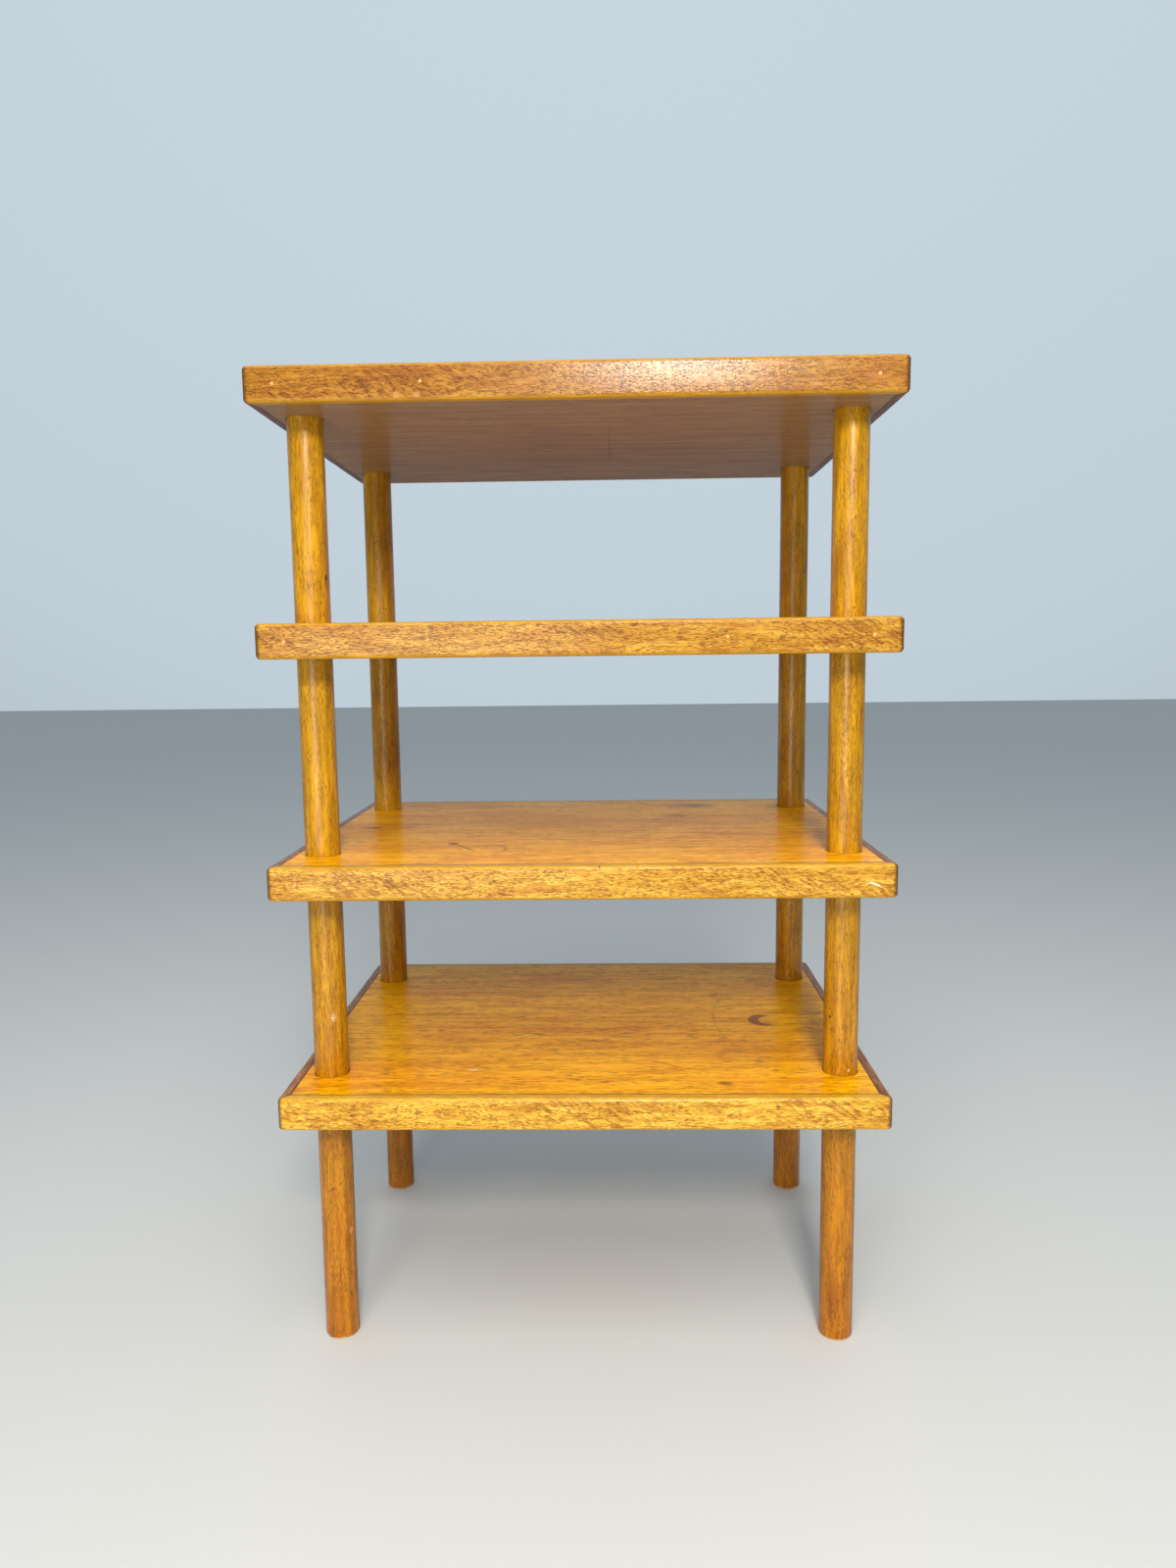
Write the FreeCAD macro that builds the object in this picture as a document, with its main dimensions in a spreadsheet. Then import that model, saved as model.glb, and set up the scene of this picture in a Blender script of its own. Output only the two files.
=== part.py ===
import FreeCAD, Part
import os
import Sketcher

# Four-tier wooden display stand: four edge-lipped boards glued on four round posts.
# Millimetres, +Z up, the front faces -Y, origin on the floor under the middle of the stand.

SHELF_COUNT = 4

SIZES = [
    ("shelfWidth", 343, "outside width of a shelf, left to right"),
    ("shelfDepth", 260, "outside depth of a shelf, front to back"),
    ("shelfThickness", 19, "thickness of board and lipping"),
    ("footLength", 146.5, "floor to the underside of the lowest shelf"),
    ("shelfPitch", 131.5, "one shelf's underside to the next one's"),
    ("lippingWidth", 6, "width of the solid wood strip round a board"),
    ("cornerRadius", 3, "rounding of a shelf's upright corners"),
    ("arrisRadius", 2, "rounding of a shelf's top and bottom edges"),
    ("postDiameter", 20, "dowel that the posts are cut from"),
    ("postSideInset", 21, "post axis to the shelf's left or right edge"),
    ("postFrontInset", 40, "post axis to the shelf's front or back edge"),
    ("postEndEase", 0.8, "rounding of a post's two ends"),
    ("glueGap", 0.1, "radial room for glue between post and bore"),
    ("boreEase", 0.3, "chamfer at the mouth of a bore"),
    ("socketDepth", 12, "depth of the blind bores in the top board"),
    ("bradLength", 18, "under the head, point included"),
    ("bradDiameter", 1.2, "shank of a brad"),
    ("bradHeadDiameter", 1.9, "head of a brad, and the hole it is punched down"),
    ("bradHeadHeight", 0.8, "thickness of a brad's head"),
    ("bradPointLength", 1.5, "length of a brad's point"),
    ("puttyDepth", 1.2, "how far a brad's head is punched below the edge"),
    ("bradEndInset", 16, "outer brads of a long lipping, from the shelf's corner"),
    ("bradInnerOffset", 79, "inner brads of a long lipping, from the middle"),
    ("bradPostGap", 5.5, "outer brads of a short lipping, clear of the posts"),
]

POST_X = "(Sizes.shelfWidth / 2 - Sizes.postSideInset)"
POST_Y = "(Sizes.shelfDepth / 2 - Sizes.postFrontInset)"
TOP_SHELF_HEIGHT = "Sizes.footLength + %d * Sizes.shelfPitch" % (SHELF_COUNT - 1)
PUNCHED_X = "(Sizes.shelfWidth / 2 - Sizes.puttyDepth)"
PUNCHED_Y = "(Sizes.shelfDepth / 2 - Sizes.puttyDepth)"
SIDE_BRAD_Y = "(%s - Sizes.postDiameter / 2 - Sizes.bradPostGap)" % POST_Y
END_BRAD_X = "(Sizes.shelfWidth / 2 - Sizes.bradEndInset)"

doc = FreeCAD.newDocument("DisplayStand")
nodes = []


def make_sheet():
    sheet = doc.addObject("Spreadsheet::Sheet", "Sizes")
    for row, (alias, value, meaning) in enumerate(SIZES, start=1):
        sheet.set("A%d" % row, alias)
        sheet.set("B%d" % row, str(value))
        sheet.set("C%d" % row, meaning)
        sheet.setAlias("B%d" % row, alias)
    doc.recompute()


def bind(item, expressions):
    for path, expression in expressions.items():
        item.setExpression(path, expression)


def place(item, x="0", y="0", z="0"):
    bind(item, {"Placement.Base.x": x, "Placement.Base.y": y, "Placement.Base.z": z})


def shelf_height(number):
    return "Sizes.footLength + %d * Sizes.shelfPitch" % (number - 1)


def sub_part(item, label):
    """Names a finished piece and puts it on the list of pieces to write."""
    item.Label = label
    nodes.append(item)
    return item


# ---- sketches and bodies

def new_body(name):
    return doc.addObject("PartDesign::Body", name)


def floor_sketch(body, name):
    """A sketch on the body's own XY plane."""
    plane = [p for p in body.Origin.OriginFeatures if p.Role == "XY_Plane"][0]
    sketch = body.newObject("Sketcher::SketchObject", name)
    sketch.AttachmentSupport = [(plane, "")]
    sketch.MapMode = "FlatFace"
    return sketch


def name_distance(sketch, kind, first, first_point, second, second_point, name, expression):
    """Adds a signed X or Y distance with a name and binds it to an expression."""
    number = sketch.addConstraint(
        Sketcher.Constraint(kind, first, first_point, second, second_point, 10.0))
    sketch.renameConstraint(number, name)
    sketch.setExpression("Constraints." + name, expression)


def add_rectangle(sketch, width, depth):
    """A rectangle centred on the sketch's origin."""
    corners = [FreeCAD.Vector(x, y, 0) for x, y in ((-9, -6), (9, -6), (9, 6), (-9, 6))]
    for index in range(4):
        sketch.addGeometry(Part.LineSegment(corners[index], corners[(index + 1) % 4]), False)
    for index in range(4):
        sketch.addConstraint(Sketcher.Constraint("Coincident", index, 2, (index + 1) % 4, 1))
    for index in (0, 2):
        sketch.addConstraint(Sketcher.Constraint("Horizontal", index))
        sketch.addConstraint(Sketcher.Constraint("Vertical", index + 1))
    sketch.addConstraint(Sketcher.Constraint("Symmetric", 0, 1, 1, 2, -1, 1))
    name_distance(sketch, "DistanceX", 0, 1, 0, 2, "width", width)
    name_distance(sketch, "DistanceY", 1, 1, 1, 2, "depth", depth)


def add_post_circles(sketch, radius):
    """Four equal circles on the post axes, symmetrical about both axes of the sketch."""
    signs = ((1, 1), (-1, 1), (-1, -1), (1, -1))
    for x_sign, y_sign in signs:
        centre = FreeCAD.Vector(20 * x_sign, 15 * y_sign, 0)
        sketch.addGeometry(Part.Circle(centre, FreeCAD.Vector(0, 0, 1), 5), False)
    for index in (1, 2, 3):
        sketch.addConstraint(Sketcher.Constraint("Equal", 0, index))
    sketch.addConstraint(Sketcher.Constraint("Symmetric", 0, 3, 1, 3, -2))
    sketch.addConstraint(Sketcher.Constraint("Symmetric", 0, 3, 3, 3, -1))
    sketch.addConstraint(Sketcher.Constraint("Symmetric", 0, 3, 2, 3, -1, 1))
    name_distance(sketch, "DistanceX", -1, 1, 0, 3, "postX", POST_X)
    name_distance(sketch, "DistanceY", -1, 1, 0, 3, "postY", POST_Y)
    number = sketch.addConstraint(Sketcher.Constraint("Radius", 0, 5.0))
    sketch.renameConstraint(number, "radius")
    sketch.setExpression("Constraints.radius", radius)


def add_pad(body, sketch, name, length):
    pad = body.newObject("PartDesign::Pad", name)
    pad.Profile = sketch
    pad.setExpression("Length", length)
    doc.recompute()
    return pad


def add_dress_up(body, kind, name, base, wanted, size_name, size):
    """Rounds or chamfers the edges of the base feature that are wanted."""
    edges = ["Edge%d" % number for number, edge in enumerate(base.Shape.Edges, start=1)
             if wanted(edge)]
    feature = body.newObject("PartDesign::" + kind, name)
    feature.Base = (base, edges)
    feature.setExpression(size_name, size)
    doc.recompute()
    return feature


def is_upright(edge):
    box = edge.BoundBox
    return box.ZLength > box.XLength + box.YLength


def is_level(edge):
    return edge.BoundBox.ZLength < 1e-6


def is_level_circle(edge):
    return is_level(edge) and isinstance(edge.Curve, Part.Circle)


# ---- shelves

def make_board(name, through):
    """The panel inside the lippings, bored for the posts right through or part way up."""
    body = new_body(name)
    outline = floor_sketch(body, name + "_outline")
    add_rectangle(outline, "Sizes.shelfWidth - 2 * Sizes.lippingWidth",
                  "Sizes.shelfDepth - 2 * Sizes.lippingWidth")
    pad = add_pad(body, outline, name + "_panel", "Sizes.shelfThickness")
    solid_volume = pad.Shape.Volume

    circles = floor_sketch(body, name + "_post_circles")
    add_post_circles(circles, "Sizes.postDiameter / 2 + Sizes.glueGap")
    bores = body.newObject("PartDesign::Pocket", name + "_bores")
    bores.Profile = circles
    bores.Reversed = True
    depth = "Sizes.shelfThickness" if through else "Sizes.socketDepth"
    bores.setExpression("Length", depth)
    doc.recompute()
    if not bores.Shape.Volume < solid_volume - 1:
        raise RuntimeError(name + ": the post bores cut nothing")

    def is_mouth(edge):
        height = edge.BoundBox.ZMin
        return is_level_circle(edge) and (through or height < 1e-6)

    add_dress_up(body, "Chamfer", name + "_bore_ease", bores, is_mouth, "Size", "Sizes.boreEase")
    return body


def make_rounded_blank():
    """The outside form of a lipped shelf, with its corners and edges rounded over."""
    body = new_body("rounded_blank")
    outline = floor_sketch(body, "blank_outline")
    add_rectangle(outline, "Sizes.shelfWidth", "Sizes.shelfDepth")
    pad = add_pad(body, outline, "blank_panel", "Sizes.shelfThickness")
    corners = add_dress_up(body, "Fillet", "blank_corners", pad, is_upright,
                           "Radius", "Sizes.cornerRadius")
    add_dress_up(body, "Fillet", "blank_arrises", corners, is_level,
                 "Radius", "Sizes.arrisRadius")
    return body


def make_mitred_strip(name, length, half_span, angle):
    """A square-edged strip with mitred ends, its outer face half_span from the middle."""
    strip = doc.addObject("Part::Wedge", name)
    bind(strip, {
        "Xmin": "-%s / 2" % length,
        "Xmax": "%s / 2" % length,
        "X2min": "-%s / 2 + Sizes.lippingWidth" % length,
        "X2max": "%s / 2 - Sizes.lippingWidth" % length,
        "Ymin": "-%s" % half_span,
        "Ymax": "-%s + Sizes.lippingWidth" % half_span,
        "Zmax": "Sizes.shelfThickness",
        "Z2max": "Sizes.shelfThickness",
    })
    strip.Zmin = 0
    strip.Z2min = 0
    strip.Placement = FreeCAD.Placement(FreeCAD.Vector(0, 0, 0),
                                        FreeCAD.Rotation(FreeCAD.Vector(0, 0, 1), angle))
    return strip


def common(name, first, second):
    item = doc.addObject("Part::MultiCommon", name)
    item.Shapes = [first, second]
    return item


def make_lipping_blanks(rounded_blank):
    """One rounded, mitred lipping for each side, before its brads go in."""
    width, depth = "Sizes.shelfWidth", "Sizes.shelfDepth"
    sides = (("front", width, depth, 0), ("right", depth, width, 90),
             ("back", width, depth, 180), ("left", depth, width, 270))
    blanks = {}
    for side, length, span, angle in sides:
        strip = make_mitred_strip("strip_" + side, length, span + " / 2", angle)
        blanks[side] = common("lipping_blank_" + side, strip, rounded_blank)
    return blanks


# ---- brads and the putty over them

def make_cylinder(name, radius, height, start):
    cylinder = doc.addObject("Part::Cylinder", name)
    bind(cylinder, {"Radius": radius, "Height": height})
    place(cylinder, z=start)
    return cylinder


def fuse(name, pieces):
    item = doc.addObject("Part::MultiFuse", name)
    item.Shapes = pieces
    return item


def make_brad():
    """A brad along +Z, the top of its head at the origin."""
    shank_radius = "Sizes.bradDiameter / 2"
    head = make_cylinder("brad_head", "Sizes.bradHeadDiameter / 2", "Sizes.bradHeadHeight", "0")
    shank = make_cylinder("brad_shank", shank_radius,
                          "Sizes.bradLength - Sizes.bradPointLength", "Sizes.bradHeadHeight")
    point = doc.addObject("Part::Cone", "brad_point")
    bind(point, {"Radius1": shank_radius, "Radius2": shank_radius + " / 5",
                 "Height": "Sizes.bradPointLength"})
    place(point, z="Sizes.bradHeadHeight + Sizes.bradLength - Sizes.bradPointLength")
    return fuse("brad", [head, shank, point])


def make_putty_plug():
    """The plug that fills the punched hole, from the brad's head out to the lipping's face."""
    return make_cylinder("putty_plug", "Sizes.bradHeadDiameter / 2", "Sizes.puttyDepth",
                         "-Sizes.puttyDepth")


def brad_places():
    """Every brad of one shelf: x, y and the turn that points +Z into the wood."""
    x_axis, y_axis = FreeCAD.Vector(1, 0, 0), FreeCAD.Vector(0, 1, 0)
    places = []
    for sign, turn in (("-", -90), ("", 90)):
        for x in ("-" + END_BRAD_X, "-Sizes.bradInnerOffset", "Sizes.bradInnerOffset", END_BRAD_X):
            places.append((x, sign + PUNCHED_Y, FreeCAD.Rotation(x_axis, turn)))
    for sign, turn in (("-", 90), ("", -90)):
        for y in ("-" + SIDE_BRAD_Y, "0", SIDE_BRAD_Y):
            places.append((sign + PUNCHED_X, y, FreeCAD.Rotation(y_axis, turn)))
    return places


def compound(name, links):
    item = doc.addObject("Part::Compound", name)
    item.Links = links
    return item


def repeat_at_brads(name, master):
    """A group of copies of a piece, one at each brad of a shelf."""
    copies = []
    for number, (x, y, turn) in enumerate(brad_places(), start=1):
        copy = compound("%s_%02d" % (name, number), [master])
        copy.Placement = FreeCAD.Placement(FreeCAD.Vector(0, 0, 0), turn)
        place(copy, x, y, "Sizes.shelfThickness / 2")
        copies.append(copy)
    return compound(name, copies)


def cut(base, tool, label, height):
    item = doc.addObject("Part::Cut", label)
    item.Base = base
    item.Tool = tool
    place(item, z=height)
    return sub_part(item, label)


def make_shelves():
    bored_board = make_board("bored_board", through=True)
    top_board = make_board("top_board", through=False)
    lipping_blanks = make_lipping_blanks(make_rounded_blank())
    brad = make_brad()
    plug = make_putty_plug()
    brads = repeat_at_brads("brad_group", brad)
    plugs = repeat_at_brads("putty_group", plug)
    holes = repeat_at_brads("hole_group", fuse("brad_hole", [brad, plug]))

    for number in range(1, SHELF_COUNT + 1):
        shelf = "shelf_%d_" % number
        height = shelf_height(number)
        board = top_board if number == SHELF_COUNT else bored_board
        cut(board, holes, shelf + "core", height)
        for side, blank in lipping_blanks.items():
            cut(blank, holes, shelf + "lipping_" + side, height)
        for group, kind in ((brads, "brads"), (plugs, "putty")):
            item = compound(shelf + kind, [group])
            place(item, z=height)
            sub_part(item, shelf + kind)


# ---- posts

def make_post(label, x_sign, y_sign):
    """A dowel from the floor to the bottom of its socket in the top board."""
    body = new_body(label)
    section = floor_sketch(body, label + "_section")
    circle = Part.Circle(FreeCAD.Vector(0, 0, 0), FreeCAD.Vector(0, 0, 1), 9)
    section.addGeometry(circle, False)
    section.addConstraint(Sketcher.Constraint("Coincident", 0, 3, -1, 1))
    number = section.addConstraint(Sketcher.Constraint("Diameter", 0, 18.0))
    section.renameConstraint(number, "diameter")
    section.setExpression("Constraints.diameter", "Sizes.postDiameter")
    dowel = add_pad(body, section, label + "_dowel", TOP_SHELF_HEIGHT + " + Sizes.socketDepth")
    add_dress_up(body, "Fillet", label + "_ends", dowel, is_level_circle,
                 "Radius", "Sizes.postEndEase")
    place(body, x_sign + POST_X, y_sign + POST_Y)
    return sub_part(body, label)


def make_posts():
    for row, y_sign in (("front", "-"), ("back", "")):
        for side, x_sign in (("left", "-"), ("right", "")):
            make_post("post_%s_%s" % (row, side), x_sign, y_sign)


# ---- build, check and write

def check_document():
    for item in doc.Objects:
        if "Invalid" in item.State or "Error" in item.State:
            raise RuntimeError("%s failed: %s" % (item.Name, item.State))
    for item in nodes:
        if item.Shape.isNull() or not item.Shape.isValid():
            raise RuntimeError("%s has no valid shape" % item.Label)
        if not item.Shape.Solids:
            raise RuntimeError("%s holds no solid" % item.Label)


make_sheet()
make_shelves()
make_posts()
doc.recompute()
check_document()

os.makedirs("parts", exist_ok=True)
for item in nodes:
    item.Shape.exportStep("parts/%s.step" % item.Label)
    print("%-26s %2d solids  %10.1f mm3" % (item.Label, len(item.Shape.Solids), item.Shape.Volume))
print(len(nodes), "sub-parts")
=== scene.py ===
import math

import bmesh
import bpy
from mathutils import Matrix, Vector


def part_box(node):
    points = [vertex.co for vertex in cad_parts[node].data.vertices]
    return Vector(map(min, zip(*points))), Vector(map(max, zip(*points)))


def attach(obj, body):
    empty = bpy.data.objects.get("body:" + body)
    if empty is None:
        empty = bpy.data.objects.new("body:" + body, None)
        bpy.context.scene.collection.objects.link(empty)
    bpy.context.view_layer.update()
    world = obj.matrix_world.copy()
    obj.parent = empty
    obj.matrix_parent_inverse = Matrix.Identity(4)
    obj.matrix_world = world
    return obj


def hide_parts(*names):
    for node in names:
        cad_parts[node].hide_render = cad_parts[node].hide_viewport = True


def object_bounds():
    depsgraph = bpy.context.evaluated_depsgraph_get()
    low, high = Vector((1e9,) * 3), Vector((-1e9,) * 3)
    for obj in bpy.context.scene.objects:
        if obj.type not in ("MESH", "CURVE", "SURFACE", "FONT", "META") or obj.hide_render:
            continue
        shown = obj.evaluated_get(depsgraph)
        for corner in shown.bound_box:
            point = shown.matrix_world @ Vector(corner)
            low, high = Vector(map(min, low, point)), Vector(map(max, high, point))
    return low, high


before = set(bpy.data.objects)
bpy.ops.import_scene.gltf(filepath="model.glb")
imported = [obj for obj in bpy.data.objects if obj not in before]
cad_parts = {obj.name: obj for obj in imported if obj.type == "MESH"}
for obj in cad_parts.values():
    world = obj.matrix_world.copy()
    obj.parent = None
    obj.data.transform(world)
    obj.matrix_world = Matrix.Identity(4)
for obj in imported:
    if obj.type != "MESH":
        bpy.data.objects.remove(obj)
cadLow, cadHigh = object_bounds()
print("frame loaded:", len(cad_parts), "nodes")

shelfNumbers = (1, 2, 3, 4)   # 1 is the lowest
postNames = ("post_front_left", "post_front_right", "post_back_left", "post_back_right")
tiny = 1e-5                   # how near a point is to count as lying on a plane, in metres
belowShelf = 0.02             # how far under a shelf its heights are counted from, in metres


# Places that everything else is worked out from, read from the frame

firstPostLow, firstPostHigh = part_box("post_front_left")
firstCoreLow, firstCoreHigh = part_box("shelf_1_core")
postRadius = (firstPostHigh.x - firstPostLow.x) / 2
postSide = -(firstPostHigh.x + firstPostLow.x) / 2       # how far the posts stand from the middle, sideways
postDepth = -(firstPostHigh.y + firstPostLow.y) / 2      # and front to back
boardSide, boardDepth = firstCoreHigh.x, firstCoreHigh.y
shelfSide = -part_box("shelf_1_lipping_left")[0].x
shelfDepth = -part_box("shelf_1_lipping_front")[0].y
shelfThickness = firstCoreHigh.z - firstCoreLow.z
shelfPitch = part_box("shelf_2_core")[0].z - firstCoreLow.z


# Working by hand in edit mode

def clearSelection():
    if bpy.context.object and bpy.context.object.mode != "OBJECT":
        bpy.ops.object.mode_set(mode="OBJECT")
    bpy.ops.object.select_all(action="DESELECT")


def takeUp(piece):
    # makes one piece the selected and active one
    clearSelection()
    piece.select_set(True)
    bpy.context.view_layer.objects.active = piece


def openMesh(piece):
    takeUp(piece)
    bpy.ops.object.mode_set(mode="EDIT")


def pick(kind, test):
    # in edit mode, selects the vertices, edges or faces that pass the test
    bpy.ops.mesh.select_mode(type=kind)
    bpy.ops.mesh.select_all(action="DESELECT")
    mesh = bmesh.from_edit_mesh(bpy.context.edit_object.data)
    for element in {"VERT": mesh.verts, "EDGE": mesh.edges, "FACE": mesh.faces}[kind]:
        if test(element):
            element.select_set(True)
    bmesh.update_edit_mesh(bpy.context.edit_object.data)


def closeMesh():
    bpy.ops.object.mode_set(mode="OBJECT")


def ends(edge):
    return edge.verts[0].co, edge.verts[1].co


def addBlock(name, low, high):
    clearSelection()
    bpy.ops.mesh.primitive_cube_add(size=1, location=(low + high) / 2, scale=high - low)
    block = bpy.context.object
    block.name = name
    bpy.ops.object.transform_apply(location=True, rotation=True, scale=True)
    return block


def addRod(name, start, length, radius, sides, direction=(0, 0, 1)):
    clearSelection()
    axis = Vector(direction)
    turn = Vector((0, 0, 1)).rotation_difference(axis).to_euler()
    middle = Vector(start) + axis * length / 2
    bpy.ops.mesh.primitive_cylinder_add(vertices=sides, radius=radius, depth=length,
                                        location=middle, rotation=turn)
    rod = bpy.context.object
    rod.name = name
    bpy.ops.object.transform_apply(location=True, rotation=True, scale=True)
    return rod


def copyOf(piece, name):
    takeUp(piece)
    bpy.ops.object.duplicate(linked=False)
    twin = bpy.context.object
    twin.name = name
    return twin


def joinAll(pieces, name):
    clearSelection()
    for piece in pieces:
        piece.select_set(True)
    bpy.context.view_layer.objects.active = pieces[0]
    bpy.ops.object.join()
    pieces[0].name = name
    return pieces[0]


def throwAway(piece):
    takeUp(piece)
    bpy.ops.object.delete()


def applied(piece, kind, **settings):
    # adds a modifier with its settings and applies it
    takeUp(piece)
    bpy.ops.object.modifier_add(type=kind)
    modifier = piece.modifiers[-1]
    for setting, value in settings.items():
        setattr(modifier, setting, value)
    bpy.ops.object.modifier_apply(modifier=modifier.name)


def cutWith(piece, cutter):
    applied(piece, "BOOLEAN", operation="DIFFERENCE", solver="EXACT", object=cutter)


def smoothShade(piece, angle=35):
    takeUp(piece)
    bpy.ops.object.shade_smooth_by_angle(angle=math.radians(angle))
    applied(piece, "WEIGHTED_NORMAL", keep_sharp=True, weight=100)


def fit(piece, material, slotName, *nodes):
    # gives a piece its finish and puts it in the place of its CAD nodes
    piece.data.materials.clear()
    piece.data.materials.append(material)
    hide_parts(*nodes)
    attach(piece, "root")


# Colours and nodes

def linearColour(code):
    # sRGB hex to the linear values that a shader takes
    channels = [int(code[i:i + 2], 16) / 255 for i in (1, 3, 5)]
    return [c / 12.92 if c <= 0.04045 else ((c + 0.055) / 1.055) ** 2.4 for c in channels] + [1.0]


def addNode(tree, kind, settings=None, links=None, ramp=None, output=None):
    # adds one node. Settings are its own properties or its sockets' values, links say what feeds
    # its sockets, and what comes back is the output socket named, or else its first live one
    node = tree.nodes.new("ShaderNode" + kind)
    for key, value in (settings or {}).items():
        if isinstance(key, str) and hasattr(node, key):
            setattr(node, key, value)
    live = {}
    for socket in node.inputs:
        if socket.enabled:
            live.setdefault(socket.name, socket)
    for index, socket in enumerate(node.inputs):
        live[index] = socket
    for key, value in (settings or {}).items():
        if key in live:
            live[key].default_value = value
    for key, source in (links or {}).items():
        tree.links.new(source, live[key])
    if ramp:
        stops = node.color_ramp.elements
        while len(stops) < len(ramp):
            stops.new(1.0)
        for stop, (position, code) in zip(stops, ramp):
            stop.position = position
            stop.color = linearColour(code)
    if output:
        return node.outputs[output]
    return next((socket for socket in node.outputs if socket.enabled), None)


def newMaterial(name):
    material = bpy.data.materials.new(name)
    material.use_nodes = True
    material.node_tree.nodes.clear()
    return material, material.node_tree


# Varnished wood. The three woods share their make-up and differ in the values given to it. Sizes are
# in millimetres, long and wide, and pores are drawn about twice as wide as real ones so that they show

def grainNoise(tree, place, grain, size, detail=2.0, turn=(0, 0, 0)):
    # noise drawn out along the grain, for features so many millimetres long and wide
    long, wide = size
    spread = [(long if axis == grain else wide) / 1000 for axis in "xyz"]
    drawn = addNode(tree, "Mapping", {"vector_type": "TEXTURE", "Scale": spread, "Rotation": turn},
                    {"Vector": place})
    return addNode(tree, "TexNoise", {"Scale": 1.0, "Detail": detail}, {"Vector": drawn})


def grainMask(tree, place, grain, look):
    # 0 to 1 as the noise goes through the range, or 1 on a thin line along its middle value
    noise = grainNoise(tree, place, grain, look["size"], look.get("detail", 2.0),
                       look.get("turn", (0, 0, 0)))
    low, high = look.get("range", (0, 1))
    if "line" in look:
        offMiddle = addNode(tree, "Math", {"operation": "SUBTRACT", 1: 0.5}, {0: noise})
        noise = addNode(tree, "Math", {"operation": "ABSOLUTE"}, {0: offMiddle})
        low, high = look["line"], 0.0
    mask = addNode(tree, "MapRange", {"interpolation_type": "SMOOTHSTEP",
                                      "From Min": low, "From Max": high}, {"Value": noise})
    if "where" in look:
        area = grainMask(tree, place, grain, look["where"])
        mask = addNode(tree, "Math", {"operation": "MULTIPLY"}, {0: mask, 1: area})
    return mask


def stain(tree, ground, mask, look):
    # lays one colour over the ground where the mask is, covering it or soaking in
    share = addNode(tree, "Math", {"operation": "MULTIPLY", 1: look["share"]}, {0: mask})
    return addNode(tree, "Mix", {"data_type": "RGBA", "blend_type": look.get("kind", "MIX"),
                                 7: linearColour(look["colour"])}, {0: share, 6: ground}, output=2)


def ovalMask(tree, place, mark):
    # 1 inside an oval mark and 0 outside it. Its place and half sizes are in millimetres, and soft is
    # the share of it, from the rim inwards, over which it comes in
    shaped = addNode(tree, "Mapping", {"vector_type": "TEXTURE",
                                       "Location": [v / 1000 for v in mark["at"]],
                                       "Rotation": mark.get("turn", (0, 0, 0)),
                                       "Scale": [v / 1000 for v in mark["size"]]}, {"Vector": place})
    ball = addNode(tree, "TexGradient", {"gradient_type": "SPHERICAL"}, {"Vector": shaped})
    return addNode(tree, "MapRange", {"interpolation_type": "SMOOTHSTEP", "From Max": mark.get("soft", 0.6)},
                   {"Value": ball})


gritShare = (0.46, 0.6)   # the part of the noise over which a gritty mark comes in


def markMask(tree, place, mark):
    # an oval, which another oval may bite a piece out of and which may break up into grit
    mask = ovalMask(tree, place, mark)
    if "bite" in mark:
        bite = ovalMask(tree, place, mark["bite"])
        mask = addNode(tree, "Math", {"operation": "SUBTRACT", "use_clamp": True}, {0: mask, 1: bite})
    if "grit" in mark:
        grit = addNode(tree, "TexNoise", {"Scale": 1000 / mark["grit"], "Detail": 1.0}, {"Vector": place})
        broken = addNode(tree, "MapRange", {"From Min": gritShare[0], "From Max": gritShare[1]},
                         {"Value": grit})
        mask = addNode(tree, "Math", {"operation": "MULTIPLY"}, {0: mask, 1: broken})
    return mask


# Wear, dirt and painted light and shade. Each function takes the place and its own values, and gives a mask
# from 0 to 1

def seamDirt(tree, place, look):
    # dark varnish and dust in the seam round the board, and in the mitres of the lippings
    folded = addNode(tree, "VectorMath", {"operation": "ABSOLUTE"}, {0: place})
    fromSeam = addNode(tree, "VectorMath", {"operation": "SUBTRACT", 0: (boardSide, boardDepth, 0)},
                       {1: folded})
    apart = addNode(tree, "SeparateXYZ", {}, {0: fromSeam}).node.outputs
    inner = addNode(tree, "Math", {"operation": "MINIMUM"}, {0: apart[0], 1: apart[1]})
    distance = addNode(tree, "Math", {"operation": "ABSOLUTE"}, {0: inner})
    if look["mitres"]:
        slope = addNode(tree, "Math", {"operation": "SUBTRACT"}, {0: apart[0], 1: apart[1]})
        fromMitre = addNode(tree, "Math", {"operation": "ABSOLUTE"}, {0: slope})
        distance = addNode(tree, "Math", {"operation": "MINIMUM"}, {0: distance, 1: fromMitre})
    return addNode(tree, "MapRange", {"interpolation_type": "SMOOTHSTEP", "From Min": look["width"] / 1000,
                                      "From Max": 0.0}, {"Value": distance})


def dirtRound(tree, place, upright, inner, outer):
    # full within the inner distance of an upright line and gone at the outer, at all four corners
    folded = addNode(tree, "VectorMath", {"operation": "ABSOLUTE"}, {0: place})
    flat = addNode(tree, "VectorMath", {"operation": "MULTIPLY", 1: (1, 1, 0)}, {0: folded})
    reach = addNode(tree, "VectorMath", {"operation": "DISTANCE", 1: (*upright, 0)}, {0: flat},
                    output="Value")
    return addNode(tree, "MapRange", {"interpolation_type": "SMOOTHSTEP",
                                      "From Min": outer, "From Max": inner}, {"Value": reach})


def boreDirt(tree, place, look):
    # the dark ring where a post goes into a board. The top board's bores are blind, so its top has none
    ring = dirtRound(tree, place, (postSide, postDepth), postRadius, postRadius + look["width"] / 1000)
    level = addNode(tree, "SeparateXYZ", {}, {0: place}, output="Z")
    underTop = addNode(tree, "Math", {"operation": "LESS_THAN", 1: firstPostHigh.z}, {0: level})
    return addNode(tree, "Math", {"operation": "MULTIPLY"}, {0: ring, 1: underTop})


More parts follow.
